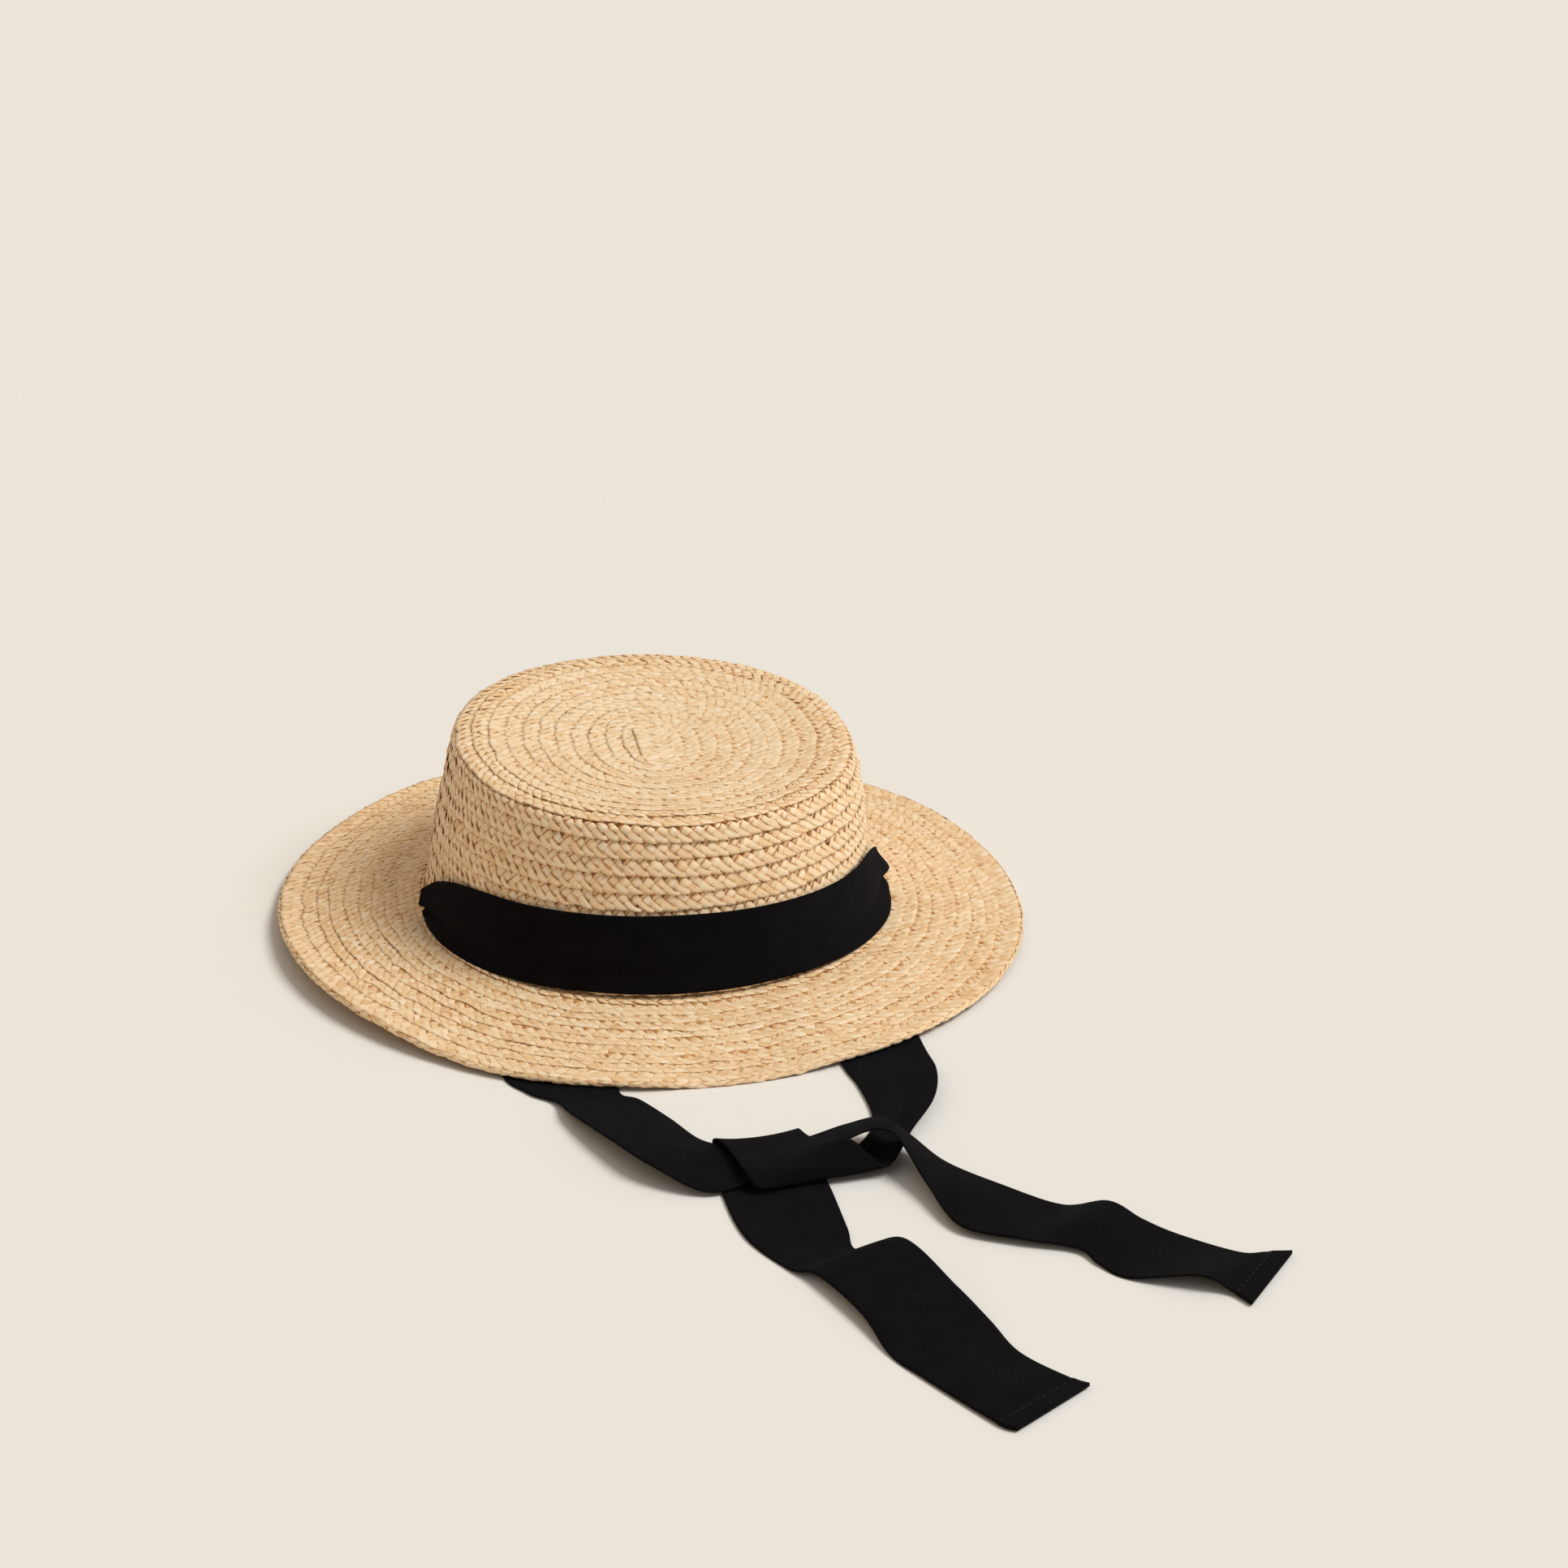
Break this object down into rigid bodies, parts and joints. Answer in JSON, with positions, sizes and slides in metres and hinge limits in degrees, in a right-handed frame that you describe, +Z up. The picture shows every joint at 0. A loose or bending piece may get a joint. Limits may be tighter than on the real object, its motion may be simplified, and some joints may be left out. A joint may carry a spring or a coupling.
{
  "type": "raffia boater hat",
  "caption": "Flat-topped oval hat of sewn raffia braid with a wide brim and a dark tape band whose ends pass through side slits and tie under the chin.",
  "frame": {"origin": "on the surface under the middle of the hat, at the level that the brim rests on", "axes": "+Z up, -Y towards the hat's front, +X to the left of a wearer who faces -Y"},
  "size_m": [0.3257, 0.5787, 0.0783],
  "materials": {
    "straw": "natural plaited raffia, dry and matte",
    "tape": "matte black herringbone cotton tape"
  },
  "bodies": {
    "root": {"crown": "straw", "brim": "straw", "hat_band": "tape", "tie_left": "tape", "tie_right": "tape"}
  },
  "joints": []
}
